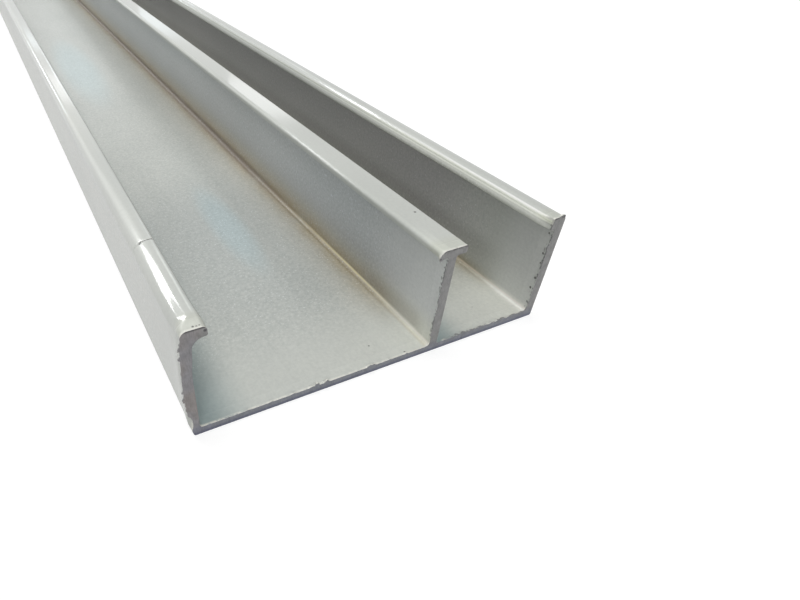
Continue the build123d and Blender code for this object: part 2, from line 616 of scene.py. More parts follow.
class Surface:
    """The place on a material's surface: across, up, and back from the cut, in millimetres."""

    def __init__(self, tree):
        split = make_node(tree, "ShaderNodeSeparateXYZ", Vector=millimetres(tree)).outputs
        self.tree = tree
        self.x = split["X"]
        self.z = split["Z"]
        self.behind = math_of(tree, "SUBTRACT", split["Y"], NEAR_END)


# A change of colour and where it lies: a real stain or wear, or a painted light, shade, reflection or
# highlight.
# Lists x, z and behind hold fades across, up, and back from the cut: the place of none, the place of full.
# A channel is the x of its two walls. A line runs lengthwise at an x and z, and has a reach.
# A patch is an oval on the base: x, distance from the cut, half width and half length.
# Uneven is a kind of noise with its values of none and full.
# Growth is a fade along the length: the place of least, the place of full, and the least.
StainOrPaintedLight = namedtuple(
    "StainOrPaintedLight", "name colour x z behind channel line patch uneven growth blend amount",
    defaults=((), (), (), None, None, None, None, None, "MULTIPLY", 1.0),
)


def band(middle, half_width, half_core):
    """Two fades that leave a band full within its core and none outside its width."""
    return [(middle - half_width, middle - half_core), (middle + half_width, middle + half_core)]


# How deep inside the metal a channel's stains and painted shade end, and how deep they are still full
NONE_INSIDE = 0.4
FULL_INSIDE = 0.2
PATCH_HEIGHTS = (BASE + 0.5, BASE + 0.2)


def within_channel(surface, left, right):
    """1 on the surfaces of a channel between two walls, its base included, and 0 elsewhere."""
    return product(
        surface.tree,
        fade(surface.tree, surface.x, left - NONE_INSIDE, left - FULL_INSIDE),
        fade(surface.tree, surface.x, right + NONE_INSIDE, right + FULL_INSIDE),
        fade(surface.tree, surface.z, BASE - NONE_INSIDE, BASE - FULL_INSIDE),
    )


def along_line(tree, x, z, reach):
    """1 on the lengthwise line through x and z, falling to 0 at the given reach from it."""
    distance = vector_of(tree, "DISTANCE", millimetres(tree, y=0.0), (x, 0.0, z), "Value")
    return fade(tree, distance, reach, 0.0)


def within_patch(surface, x, behind, half_width, half_length):
    """1 at the middle of an oval patch on the base, falling to 0 at its rim."""
    tree = surface.tree
    across = math_of(tree, "DIVIDE", math_of(tree, "SUBTRACT", surface.x, x), half_width)
    lengthwise = math_of(tree, "DIVIDE", math_of(tree, "SUBTRACT", surface.behind, behind), half_length)
    squares = math_of(tree, "ADD", product(tree, across, across), product(tree, lengthwise, lengthwise))
    return product(tree, fade(tree, squares, 1.0, 0.0), fade(tree, surface.z, *PATCH_HEIGHTS))


def mask_of(surface, stain_or_light):
    """How strongly a stain or a painted light or shade shows at each place, from 0 to 1."""
    tree = surface.tree
    spans = [(surface.x, span) for span in stain_or_light.x]
    spans += [(surface.z, span) for span in stain_or_light.z]
    spans += [(surface.behind, span) for span in stain_or_light.behind]
    parts = [fade(tree, place, *span) for place, span in spans]
    if stain_or_light.channel:
        parts.append(within_channel(surface, *stain_or_light.channel))
    if stain_or_light.line:
        parts.append(along_line(tree, *stain_or_light.line))
    if stain_or_light.patch:
        parts.append(within_patch(surface, *stain_or_light.patch))
    if stain_or_light.uneven:
        kind, none, full = stain_or_light.uneven
        parts.append(fade(tree, noise_of(tree, kind), none, full))
    if stain_or_light.growth:
        start, end, least = stain_or_light.growth
        grown = fade(tree, surface.behind, start, end)
        parts.append(math_of(tree, "MULTIPLY_ADD", grown, 1.0 - least, least))
    if stain_or_light.amount < 1.0:
        parts.append(stain_or_light.amount)
    return product(tree, *parts)


def with_stains_and_painted_light(surface, colour, stains_and_light):
    """The colour with each stain and each painted light or shade laid over it in turn."""
    for stain_or_light in stains_and_light:
        colour = mixed(surface.tree, stain_or_light.blend, mask_of(surface, stain_or_light), colour, stain_or_light.colour, stain_or_light.name)
    return colour


def spotted(surface, colour, spots, core, spot_colour):
    """The colour with small round spots: x, distance from the cut, z and size. The core is a share of it."""
    tree = surface.tree
    for x, behind, z, size in spots:
        distance = vector_of(tree, "DISTANCE", millimetres(tree), (x, NEAR_END + behind, z), "Value")
        colour = mixed(tree, "MIX", fade(tree, distance, size, size * core), colour, spot_colour, "speck")
    return colour


# Kinds of noise: features to the millimetre, detail and roughness
GRAIN = (1.7, 4.0, 0.65)
DIE_LINES = (2.2, 3.0, 0.6)
BROAD_TONE = (0.05, 2.0, 0.5)
MOTTLE = (1.9, 2.0, 0.6)
# blotches of the painted shade in the corners
SHADE_BLOTCHES = (0.12, 2.0, 0.5)
FLECKS = (3.2, 1.0, 0.5)
BROKEN_RIM = (1.1, 2.0, 0.6)
BURR_EDGE = (1.3, 2.0, 0.7)
BURR_GAPS = (0.9, 2.0, 0.6)

# How much the noises are drawn out along the bar or up the sawn face
BROAD_TONE_STRETCH = 0.35
DIE_LINE_STRETCH = 0.01
TOOTH_STRETCH = 0.12

# The noise values between which tones change
TONE_RANGE = (0.3, 0.7)

# The plain coat: the shares of grain, lines and broad tone, its two tones, and the factors of its mottle
COAT_TONE_SHARES = (0.35, 0.15, 0.5)
COAT_DARK = (0.42, 0.437, 0.41)
COAT_LIGHT = (0.545, 0.562, 0.525)
MOTTLE_DARK = (0.86, 0.87, 0.87)
MOTTLE_LIGHT = (1.14, 1.13, 1.12)
MOTTLE_LEAST, MOTTLE_GAIN = 0.3, 0.6

# Fades that several stains and painted lights and shades share
INWARD = (6.0, 20.0)
BY_CUT = (24.0, 6.0)
NEARER = (60.0, 24.0)
ON_BASE = (BASE + 1.5, BASE + 0.5)
ABOVE_BASE = (BASE + 2.0, BASE + 7.0)
BELOW_TOPS = (HEIGHT - 1.2, HEIGHT - 1.8)
ON_TOPS = (HEIGHT - 0.6, HEIGHT - 0.3)
WIDE = (LEFT_INNER, MIDDLE_LEFT)
NARROW = (MIDDLE_RIGHT, RIGHT_INNER)
BY_MIDDLE_FACE = (MIDDLE_LEFT - 1.5, MIDDLE_LEFT - 0.3)
MIDDLE_FACE = (MIDDLE_LEFT - 0.5, MIDDLE_LEFT - 0.1)
RIGHT_FACE = [(RIGHT_INNER - 1.5, RIGHT_INNER - 0.3), (RIGHT_INNER + 0.5, RIGHT_INNER + 0.2)]
BEAD_X = [(BEAD_FACE - 0.9, BEAD_FACE - 0.8), (RIGHT_INNER + 0.1, RIGHT_INNER - 0.1)]
BEAD_Z = [(BEAD_UNDERSIDE - 0.1, BEAD_UNDERSIDE + 0.05), (HEIGHT - 0.3, HEIGHT - 0.55)]

# Colours that more than one layer has: painted light by the cut, painted brown and teal shade, painted bluish
# reflection, painted pale and golden highlights, and the real bead lines and score marks
PAINTED_FRONT_LIGHT = (1.12, 1.11, 1.10)
BROWN_SHADE = (0.945, 0.855, 0.70)
TEAL_SHADOW = (0.52, 0.62, 0.66)
BLUISH_REFLECTION = (0.95, 1.06, 1.12)
PALE_HIGHLIGHT = (0.74, 0.72, 0.65)
GOLD_HIGHLIGHT = (1.0, 0.92, 0.60)
BEAD_LINE = (0.86, 0.86, 0.85)
SCORE_DARK = (0.10, 0.10, 0.09)

# Painted light: the base and the middle wall's face paler towards the near end, where light comes in at the
# open end
PAINTED_LIGHT_BY_CUT = (
    StainOrPaintedLight(
        "painted light on the base by the cut", PAINTED_FRONT_LIGHT, x=[(-24.0, 4.0), (MIDDLE_RIGHT, MIDDLE_RIGHT - 0.5)],
        z=[BELOW_TOPS], behind=[BY_CUT],
    ),
    StainOrPaintedLight(
        "painted light on the middle wall by the cut", PAINTED_FRONT_LIGHT, x=[(-24.0, 4.0), (MIDDLE_RIGHT, MIDDLE_RIGHT - 0.5), BY_MIDDLE_FACE],
        z=[BELOW_TOPS], behind=[BY_CUT],
    ),
    StainOrPaintedLight(
        "painted light on the narrow base by the cut", PAINTED_FRONT_LIGHT, x=[(MIDDLE_RIGHT + 1.0, MIDDLE_RIGHT + 6.0)],
        z=[BELOW_TOPS, ON_BASE], behind=[BY_CUT],
    ),
)

# Painted shade and reflection in the wide channel by the middle wall, and a darker oval on its base
WIDE_CHANNEL_TONE_AND_SHADE = (
    # a darker oval over the base behind the cut
    StainOrPaintedLight("darker patch", (0.81, 0.82, 0.835), patch=(-8.0, 42.0, 34.0, 41.0)),
    StainOrPaintedLight(
        "shade far back", (0.77, 0.765, 0.75), z=[ON_BASE], behind=[(70.0, 120.0)], channel=WIDE,
        line=(MIDDLE_LEFT, BASE, 24.0),
    ),
    # painted warm reflection of the middle wall on the base
    StainOrPaintedLight("painted warm reflection in the corner", (0.99, 0.93, 0.86), behind=[INWARD], channel=WIDE, line=(MIDDLE_LEFT, BASE, 10.0)),
    # painted brown shade in the corner by the middle wall, in blotches
    StainOrPaintedLight(
        "painted brown shade in the corner", BROWN_SHADE, behind=[INWARD], channel=WIDE, line=(MIDDLE_LEFT, BASE, 4.5),
        uneven=(SHADE_BLOTCHES, 0.2, 0.6),
    ),
    # painted shade on the lower part of the root fillet, farther back
    StainOrPaintedLight(
        "painted shade on the foot of the root", (0.76, 0.71, 0.60), channel=WIDE, line=(MIDDLE_LEFT - 0.45, BASE + 0.12, 0.8),
        growth=(25.0, 45.0, 0.6),
    ),
    # painted brown shade at the foot of the middle wall, farther back
    StainOrPaintedLight(
        "painted brown shade at the foot of the wall", (0.95, 0.90, 0.81), x=[MIDDLE_FACE], behind=[(25.0, 45.0)], channel=WIDE,
        line=(MIDDLE_LEFT, BASE + 1.5, 6.0),
    ),
)

# A painted highlight line in the wide channel's right corner, golden farther back and pale by the cut
GOLDEN_HIGHLIGHT = StainOrPaintedLight(
    "painted golden highlight", GOLD_HIGHLIGHT, behind=[NEARER], channel=WIDE, line=(MIDDLE_LEFT - 0.09, BASE + 0.44, 0.36),
    blend="MIX",
)

# Painted dark shade in the same corner behind the golden highlight, and how far and how much the gloss is
# dulled there
SEAM_SHADE = StainOrPaintedLight(
    "painted shade in the seam", (0.30, 0.25, 0.205), behind=[(40.0, 85.0)], channel=WIDE,
    line=(MIDDLE_LEFT - 0.1, BASE + 0.1, 2.2), uneven=(SHADE_BLOTCHES, 0.0, 0.4), blend="MIX", amount=0.92,
)
DULL_SEAM = SEAM_SHADE._replace(line=(MIDDLE_LEFT - 0.1, BASE + 0.1, 2.5), amount=0.97)

CHANNEL_LIGHT_SHADE_AND_FLECKS = (
    # painted shadow of the left wall on the base
    StainOrPaintedLight("painted teal shadow by the left wall", TEAL_SHADOW, channel=WIDE, line=(LEFT_INNER, BASE, 10.0)),
    # painted shade at the foot of the middle wall's right face
    StainOrPaintedLight("painted teal shade by the middle wall's right foot", TEAL_SHADOW, channel=NARROW, line=(MIDDLE_RIGHT, BASE, 8.0)),
    # painted shade on the narrow base deeper in
    StainOrPaintedLight("narrow base", (0.82, 0.80, 0.77), z=[ON_BASE], behind=[INWARD], channel=NARROW),
    # painted light on the right of the narrow base by the cut
    StainOrPaintedLight(
        "painted light on the right of the narrow base", (1.13, 1.12, 1.10), x=[(MIDDLE_RIGHT + 4.0, RIGHT_INNER)],
        z=[ON_BASE], behind=[(22.0, 6.0)], channel=NARROW,
    ),
    StainOrPaintedLight(
        "flecks", (0.80, 0.84, 0.84), z=[BELOW_TOPS], behind=[INWARD], uneven=(FLECKS, 0.64, 0.74),
        blend="MIX", amount=0.5,
    ),
    # painted highlight on the root in the narrow channel's right corner
    StainOrPaintedLight(
        "painted highlight in the right corner", PALE_HIGHLIGHT, behind=[NEARER], channel=NARROW,
        line=(RIGHT_INNER - 0.09, BASE + 0.38, 0.3), blend="MIX",
    ),
)

WALL_LIGHT_SHADE_AND_TINTS = (
    # painted shade low on the middle wall's face
    StainOrPaintedLight(
        "painted shade low on the middle wall", (0.80, 0.80, 0.81), x=[BY_MIDDLE_FACE], z=[(14.0, 5.0)], behind=[INWARD],
        channel=WIDE,
    ),
    # painted light on the cap's top
    StainOrPaintedLight(
        "painted light on the cap's top", (1.07, 1.07, 1.06), x=[(CAP_LEFT - 0.4, CAP_LEFT), (CAP_RIGHT + 0.4, CAP_RIGHT)],
        z=[(HEIGHT - 0.5, HEIGHT - 0.2)],
    ),
    # painted brown shade in the narrow channel's right corner
    StainOrPaintedLight(
        "painted brown shade in the right corner", BROWN_SHADE, x=[(RIGHT_INNER + 0.4, RIGHT_INNER + 0.2)], behind=[INWARD],
        line=(RIGHT_INNER, BASE, 3.0),
    ),
    # painted bluish reflections on the wide base
    StainOrPaintedLight("painted bluish reflection near the cut", BLUISH_REFLECTION, patch=(-6.3, 52.0, 4.8, 24.0)),
    StainOrPaintedLight("painted bluish reflection farther back", BLUISH_REFLECTION, patch=(-14.0, 188.0, 9.0, 55.0)),
    # painted bluish shade on the middle wall's face
    StainOrPaintedLight(
        "painted bluish shade on the middle wall", (0.93, 0.94, 1.02), x=[(MIDDLE_LEFT - 2.0, MIDDLE_LEFT - 0.5)],
        z=[ABOVE_BASE, BELOW_TOPS], channel=WIDE,
    ),
    # olive tint of the right wall, with painted shade deeper in
    StainOrPaintedLight(
        "olive tint and painted shade on the right wall", (0.85, 0.81, 0.86), x=RIGHT_FACE, z=[ABOVE_BASE, BELOW_TOPS],
        behind=[(5.0, 32.0)],
    ),
    # painted light beside the middle wall's cut
    StainOrPaintedLight(
        "painted light beside the middle wall's cut", (1.11, 1.11, 1.10), behind=[(10.0, 2.0)],
        x=[(MIDDLE_LEFT - 10.0, MIDDLE_LEFT - 1.0), (MIDDLE_LEFT + 0.4, MIDDLE_LEFT + 0.2)],
    ),
    # painted light on the right wall by the cut
    StainOrPaintedLight("painted light on the right wall by the cut", (1.17, 1.155, 1.19), x=RIGHT_FACE, z=[BELOW_TOPS], behind=[(12.0, 5.0)]),
    # painted shade low on the right wall
    StainOrPaintedLight("painted shade low on the right wall", (0.80, 0.785, 0.775), x=RIGHT_FACE, z=[(10.5, 7.0)], behind=[(7.0, 15.0)]),
    # painted shade at the foot of the middle wall
    StainOrPaintedLight(
        "painted shade at the foot of the middle wall", (0.78, 0.76, 0.745), x=[MIDDLE_FACE],
        z=[(7.0, 3.5), (BASE + 0.7, BASE + 1.1)], behind=[(1.5, 5.0), (24.0, 15.0)], channel=WIDE,
    ),
)

BEAD_LIGHT_AND_LINES = (
    # painted light on the bead, stronger towards the cut
    StainOrPaintedLight(
        "painted light on the bead", (1.3, 1.29, 1.26), behind=[(90.0, 10.0)],
        x=[(BEAD_FACE - 0.9, BEAD_FACE - 0.8), (RIGHT_INNER, BEAD_FACE + 0.3)],
        z=[(BEAD_UNDERSIDE - 0.1, BEAD_UNDERSIDE + 0.2), (HEIGHT - 0.3, HEIGHT - 0.55)],
    ),
    # painted light on the bead's upper face
    StainOrPaintedLight("painted light on the upper bead", (1.6, 1.6, 1.57), x=BEAD_X, z=[*BEAD_Z, (BEAD_UNDERSIDE + 0.8, HEIGHT - 0.7)]),
    # painted light on the bead's lower face
    StainOrPaintedLight("painted light on the lower bead", (1.1, 1.1, 1.06), x=BEAD_X, z=[*BEAD_Z, (BEAD_UNDERSIDE + 0.3, BEAD_UNDERSIDE)]),
    # painted highlight along the bead's upper edge
    StainOrPaintedLight(
        "painted highlight on the bead edge", (0.95, 0.95, 0.92), line=(BEAD_FACE + 0.08, HEIGHT - 0.39, 0.3),
        growth=(35.0, 10.0, 0.6), blend="MIX",
    ),
    StainOrPaintedLight("lower line on the bead", BEAD_LINE, x=BEAD_X, z=[*BEAD_Z, *band(18.75, 0.14, 0.04)]),
    StainOrPaintedLight("upper line on the bead", BEAD_LINE, x=BEAD_X, z=[*BEAD_Z, *band(19.15, 0.14, 0.04)]),
)

LIP_LIGHT_AND_MARKS = (
    # painted light on the far lip's top
    StainOrPaintedLight(
        "painted light on the far lip", (1.10, 1.09, 1.08), x=[(LIP_TIP + 0.5, LIP_TIP)], z=[ON_TOPS],
        behind=[(50.0, 80.0), (200.0, 130.0)],
    ),
    # painted highlight along the lip's inner edge, near the cut
    StainOrPaintedLight(
        "painted highlight along the lip's inner edge", (1.22, 1.22, 1.22), z=[ON_TOPS],
        x=band(LIP_TIP - LIP_TIP_RADIUS - 0.05, 0.17, 0.05), behind=[(2.5, 4.0), (22.5, 16.0)],
    ),
    StainOrPaintedLight("creamy tops", (0.97, 0.97, 0.925), z=[(HEIGHT - 1.4, HEIGHT - 0.8)], behind=[(4.0, 2.0)]),
    StainOrPaintedLight(
        "score", SCORE_DARK, x=[(LIP_TIP, LIP_TIP - 0.6)], z=[(HEIGHT - 0.5, HEIGHT - 0.3)],
        behind=band(SCORE_PLACE, 0.16, 0.05), blend="MIX",
    ),
)

# Small dark specks on the coat: x, distance from the cut, z and size
SPECKS = (
    (11.55, 11.55, HEIGHT, 0.28), (0.5, 4.35, BASE, 0.17), (5.0, 0.5, BASE, 0.24), (22.8, 5.1, BASE, 0.11),
    (-28.7, 22.7, HEIGHT, 0.22), (-30.7, 22.4, HEIGHT - 0.2, 0.3),
    (-29.8, 0.5, HEIGHT - 0.25, 0.2), (-29.35, 0.4, HEIGHT - 0.25, 0.2), (-28.95, 0.45, HEIGHT - 0.2, 0.2),
    (RIGHT_INNER, 0.6, 13.1, 0.24), (RIGHT_INNER, 0.7, 6.1, 0.28), (RIGHT_INNER, 0.8, 16.8, 0.2),
    (RIGHT_INNER, 0.4, 8.3, 0.3), (RIGHT_INNER, 0.4, 11.3, 0.25),
)
SPECK_CORE = 0.6

# The edge of the cut: worn pale on the wide base and the tops, with the burrs' shade painted dark elsewhere
WORN_RIM = StainOrPaintedLight("worn rim", (0.66, 0.66, 0.60), behind=[(0.55, 0.15)], uneven=(BROKEN_RIM, 0.35, 0.55))
BURR_SHADE = (0.15, 0.15, 0.155)
DARK_FROM_HEIGHT = (BASE + 1.2, BASE + 2.2)
DARK_FROM_X = (11.0, 16.0)
DARK_TO_HEIGHT = (HEIGHT - 0.9, HEIGHT - 1.3)
BURR_SPREAD = 0.5
BURR_FADE = (0.28, 0.12)
BURR_EDGE_VALUES = (0.5, 0.66)
BURR_GAP_VALUES = (0.4, 0.56)
BURR_LEAST, BURR_GAIN = 0.1, 0.75


def plain_coat(surface, grain, lines):
    """Silver-grey with a green cast, in broad tones and mottled below the tops."""
    tree = surface.tree
    broad = noise_of(tree, BROAD_TONE, y=BROAD_TONE_STRETCH)
    tone = weighted_sum(tree, (grain, lines, broad), COAT_TONE_SHARES)
    colour = ramp_of(tree, tone, TONE_RANGE, (COAT_DARK, COAT_LIGHT))
    mottle = ramp_of(tree, noise_of(tree, MOTTLE), TONE_RANGE, (MOTTLE_DARK, MOTTLE_LIGHT))
    inward = fade(tree, surface.behind, *INWARD)
    strength = math_of(tree, "MULTIPLY_ADD", inward, MOTTLE_GAIN, MOTTLE_LEAST)
    amount = product(tree, strength, fade(tree, surface.z, *BELOW_TOPS))
    return mixed(tree, "MULTIPLY", amount, colour, mottle, "mottle")


def painted_golden_highlight(surface, colour):
    """The painted highlight line in the wide channel's right corner."""
    tree = surface.tree
    edge = ramp_of(tree, fade(tree, surface.behind, *BY_CUT), (0.0, 1.0), (GOLD_HIGHLIGHT, PALE_HIGHLIGHT))
    return mixed(tree, GOLDEN_HIGHLIGHT.blend, mask_of(surface, GOLDEN_HIGHLIGHT), colour, edge, GOLDEN_HIGHLIGHT.name)


def edge_of_cut(surface, colour):
    """A worn pale rim in some places, and in the others broken burrs with their shade painted dark."""
    tree = surface.tree
    away_from_base = math_of(
        tree, "MAXIMUM", fade(tree, surface.z, *DARK_FROM_HEIGHT), fade(tree, surface.x, *DARK_FROM_X)
    )
    dark_side = product(tree, away_from_base, fade(tree, surface.z, *DARK_TO_HEIGHT))
    pale_side = math_of(tree, "SUBTRACT", 1.0, dark_side)
    worn = product(tree, mask_of(surface, WORN_RIM), pale_side)
    colour = mixed(tree, "MIX", worn, colour, WORN_RIM.colour, WORN_RIM.name)

    # painted shade on the burrs, in broken stretches
    reach = product(tree, fade(tree, noise_of(tree, BURR_EDGE), *BURR_EDGE_VALUES), BURR_SPREAD)
    into = math_of(tree, "SUBTRACT", surface.behind, reach)
    present = fade(tree, noise_of(tree, BURR_GAPS), *BURR_GAP_VALUES)
    present = math_of(tree, "MULTIPLY_ADD", present, BURR_GAIN, BURR_LEAST)
    burrs = product(tree, fade(tree, into, *BURR_FADE), dark_side, present)
    return mixed(tree, "MIX", burrs, colour, BURR_SHADE, "burrs")


def coat_colour(surface, grain, lines):
    """The plain coat, with painted shade, reflection and highlights in the corners, painted light by the cut
    and on the walls, worn, and marked along the cut.
    """
    colour = plain_coat(surface, grain, lines)
    colour = with_stains_and_painted_light(surface, colour, PAINTED_LIGHT_BY_CUT + WIDE_CHANNEL_TONE_AND_SHADE)
    colour = painted_golden_highlight(surface, colour)
    colour = with_stains_and_painted_light(surface, colour, (SEAM_SHADE, *CHANNEL_LIGHT_SHADE_AND_FLECKS))
    colour = with_stains_and_painted_light(surface, colour, WALL_LIGHT_SHADE_AND_TINTS + BEAD_LIGHT_AND_LINES + LIP_LIGHT_AND_MARKS)
    colour = spotted(surface, colour, SPECKS, SPECK_CORE, SCORE_DARK)
    return edge_of_cut(surface, colour)


# Gloss of the coat. The tops are rubbed and have a fuller, sharper coat.
ROUGHNESS_LEAST, ROUGHNESS_GAIN = 0.42, 0.16
METALLIC = 0.2
COAT_LEAST, COAT_GAIN = 0.5, 0.5
COAT_ROUGHNESS, RUBBED_SHARPER, DULL_ROUGHER = 0.25, -0.17, 0.35
RUBBED_HEIGHTS = (HEIGHT - 1.6, HEIGHT - 0.4)
DULL_BY_CUT = (2.2, 1.6)
DULL_SHOULDER = StainOrPaintedLight(
    "dull cap shoulder", None, x=[(CAP_LEFT + 0.9, CAP_LEFT + 0.5), (CAP_LEFT - 0.4, CAP_LEFT - 0.1)],
    amount=0.65,
)
RELIEF_SHARES = (0.8, 0.2)
GRAIN_STRENGTH = 0.35
GRAIN_HEIGHT = 0.08


def new_material(name):
    """A material with its node tree and shader."""
    material = bpy.data.materials.new(name)
    material.use_nodes = True
    tree = material.node_tree
    return material, tree, tree.nodes["Principled BSDF"]


def add_bump(tree, shader, height, strength, depth):
    """Gives a shader the finest relief, of a depth in millimetres."""
    bump = make_node(tree, "ShaderNodeBump", Height=height, Strength=strength, Distance=depth * MM)
    tree.links.new(bump.outputs["Normal"], shader.inputs["Normal"])


def add_gloss(surface, shader):
    """Sharper gloss on the rubbed tops, and duller on the cap's shoulder, in the seam and by the cut."""
    tree = surface.tree
    rubbed = fade(tree, surface.z, *RUBBED_HEIGHTS)
    dull = math_of(tree, "MAXIMUM", mask_of(surface, DULL_SHOULDER), mask_of(surface, DULL_SEAM))
    kept = math_of(tree, "SUBTRACT", 1.0, dull)
    coat = product(tree, math_of(tree, "MULTIPLY_ADD", rubbed, COAT_GAIN, COAT_LEAST), kept)
    coat_roughness = math_of(tree, "MULTIPLY_ADD", rubbed, RUBBED_SHARPER, COAT_ROUGHNESS)
    by_cut = fade(tree, surface.behind, *DULL_BY_CUT)
    coat_roughness = math_of(tree, "MULTIPLY_ADD", by_cut, DULL_ROUGHER, coat_roughness)
    tree.links.new(product(tree, kept, METALLIC), shader.inputs["Metallic"])
    tree.links.new(coat, shader.inputs["Coat Weight"])
    tree.links.new(coat_roughness, shader.inputs["Coat Roughness"])
    shader.inputs["Coat Roughness"].default_value = COAT_ROUGHNESS


def coated_material():
    """Satin silver-grey coat over aluminium, with a fine sparkle and faint die lines."""
    material, tree, shader = new_material("coated_aluminium")
    surface = Surface(tree)
    grain = noise_of(tree, GRAIN)
    lines = noise_of(tree, DIE_LINES, y=DIE_LINE_STRETCH)
    tree.links.new(coat_colour(surface, grain, lines), shader.inputs["Base Color"])
    roughness = math_of(tree, "MULTIPLY_ADD", grain, ROUGHNESS_GAIN, ROUGHNESS_LEAST)
    tree.links.new(roughness, shader.inputs["Roughness"])
    height = weighted_sum(tree, (grain, lines), RELIEF_SHARES)
    add_bump(tree, shader, height, GRAIN_STRENGTH, GRAIN_HEIGHT)
    add_gloss(surface, shader)
    return material


# Sawn metal: its tones, the tint of the left wall, the painted shadow under the burrs, and darker tones
# towards the bottom
TOOTH_MARKS = (7.0, 4.0, 0.7)
SAWN_PATCHES = (0.8, 3.0, 0.6)
SAWN_TINT = (0.22, 1.0, 0.5)
SAWN_TINT_RANGE = (0.42, 0.58)
SAWN_TONE_SHARES = (0.5, 0.5)
SAWN_DARK = (0.18, 0.18, 0.178)
SAWN_LIGHT = (0.335, 0.332, 0.328)
SAWN_RED = (1.06, 0.985, 0.965)
SAWN_VIOLET = (0.99, 0.975, 1.03)
TINTED_X = (LEFT_INNER + 2.0, LEFT_INNER + 0.5)
SAWN_SHADOW_AND_MARKS = (0.10, 0.095, 0.10)
RIM_GAPS = (1.5, 2.0, 0.6)
# painted shadow on the sawn face under the burrs of the lip and the tops
LIP_BURR_SHADOW = StainOrPaintedLight("painted shadow under the lip's burr", SAWN_SHADOW_AND_MARKS, x=[(LIP_TIP + 1.0, LIP_TIP + 0.5)], z=[(19.3, 19.55)])
TOP_BURR_SHADOW = StainOrPaintedLight("painted shadow under the top burrs", SAWN_SHADOW_AND_MARKS, z=[(19.6, 19.85)], uneven=(RIM_GAPS, 0.35, 0.55))
# darker and bluer towards the bottom
SAWN_DARKER_BELOW = (
    StainOrPaintedLight("base", (0.82, 0.86, 0.98), z=[(2.6, 0.9)]),
    StainOrPaintedLight("underside", (0.60, 0.63, 0.76), z=[(0.8, 0.25)]),
)
TOOTH_STRENGTH = 0.5
TOOTH_HEIGHT = 0.03
SAWN_METALLIC = 0.3
SAWN_ROUGHNESS = 0.5

# Dark marks on the near sawn face: x, distance from the cut, z and size
SAWN_MARKS = (
    (-28.42, 0.0, 19.0, 0.33), (-30.75, 0.0, 4.8, 0.26), (-30.7, 0.0, 4.1, 0.3), (-30.65, 0.0, 3.4, 0.24),
    (8.0, 0.0, 18.8, 0.25), (29.4, 0.0, 19.5, 0.25),
)
MARK_CORE = 0.4


def bare_material():
    """Raw aluminium where the saw cut through, with fine tooth marks and painted shadow under the burrs,
    darker towards the underside.
    """
    material, tree, shader = new_material("sawn_aluminium")
    surface = Surface(tree)
    marks = noise_of(tree, TOOTH_MARKS, z=TOOTH_STRETCH)
    tone = weighted_sum(tree, (marks, noise_of(tree, SAWN_PATCHES)), SAWN_TONE_SHARES)
    colour = ramp_of(tree, tone, TONE_RANGE, (SAWN_DARK, SAWN_LIGHT))
    tint = ramp_of(tree, noise_of(tree, SAWN_TINT), SAWN_TINT_RANGE, (SAWN_VIOLET, SAWN_RED))
    on_left_wall = fade(tree, surface.x, *TINTED_X)
    colour = mixed(tree, "MULTIPLY", on_left_wall, colour, tint, "tint")
    colour = spotted(surface, colour, SAWN_MARKS, MARK_CORE, SAWN_SHADOW_AND_MARKS)
    # painted shadow under the burrs
    rim = math_of(tree, "MAXIMUM", mask_of(surface, LIP_BURR_SHADOW), mask_of(surface, TOP_BURR_SHADOW))
    colour = mixed(tree, "MIX", rim, colour, SAWN_SHADOW_AND_MARKS, "painted burr shadows")
    colour = with_stains_and_painted_light(surface, colour, SAWN_DARKER_BELOW)
    tree.links.new(colour, shader.inputs["Base Color"])
    add_bump(tree, shader, marks, TOOTH_STRENGTH, TOOTH_HEIGHT)
    shader.inputs["Metallic"].default_value = SAWN_METALLIC
    shader.inputs["Roughness"].default_value = SAWN_ROUGHNESS
    return material


# Floor, light and background
FLOOR_HALF = 6.0
FLOOR_DROP = 0.02
FLOOR_DIFFUSE = 0.35
FLOOR_GLOW = 0.72
SKY_FOR_LIGHT = 0.36
SKY_SEEN = 1.0


def seen_directly(tree):
    """1 for rays from the camera, reflections and transmission, 0 for the light that falls on things."""
    path = make_node(tree, "ShaderNodeLightPath").outputs
    seen = math_of(tree, "MAXIMUM", path["Is Camera Ray"], path["Is Glossy Ray"])
    return math_of(tree, "MAXIMUM", seen, path["Is Transmission Ray"])


def floor_material():
    """Pale and matt, with a glow that only the eye and reflections see."""
    material = bpy.data.materials.new("pale_floor")
    material.use_nodes = True
    tree = material.node_tree
    tree.nodes.clear()
    diffuse = make_node(tree, "ShaderNodeBsdfDiffuse", Color=(FLOOR_DIFFUSE,) * 3 + (1.0,))
    glow_strength = math_of(tree, "MULTIPLY", seen_directly(tree), FLOOR_GLOW)
    glow = make_node(tree, "ShaderNodeEmission", Strength=glow_strength)
    both = tree.nodes.new("ShaderNodeAddShader")
    tree.links.new(diffuse.outputs[0], both.inputs[0])
    tree.links.new(glow.outputs[0], both.inputs[1])
    make_node(tree, "ShaderNodeOutputMaterial", Surface=both.outputs[0])
    return material


def make_floor():
    """A wide floor a hair below the underside."""
    mesh = bpy.data.meshes.new("floor")
    r = FLOOR_HALF
    mesh.from_pydata([(-r, -r, 0), (r, -r, 0), (r, r, 0), (-r, r, 0)], [], [(0, 1, 2, 3)])
    mesh.materials.append(floor_material())
    floor = bpy.data.objects.new("floor", mesh)
    floor.location.z = -FLOOR_DROP * MM
    bpy.context.scene.collection.objects.link(floor)


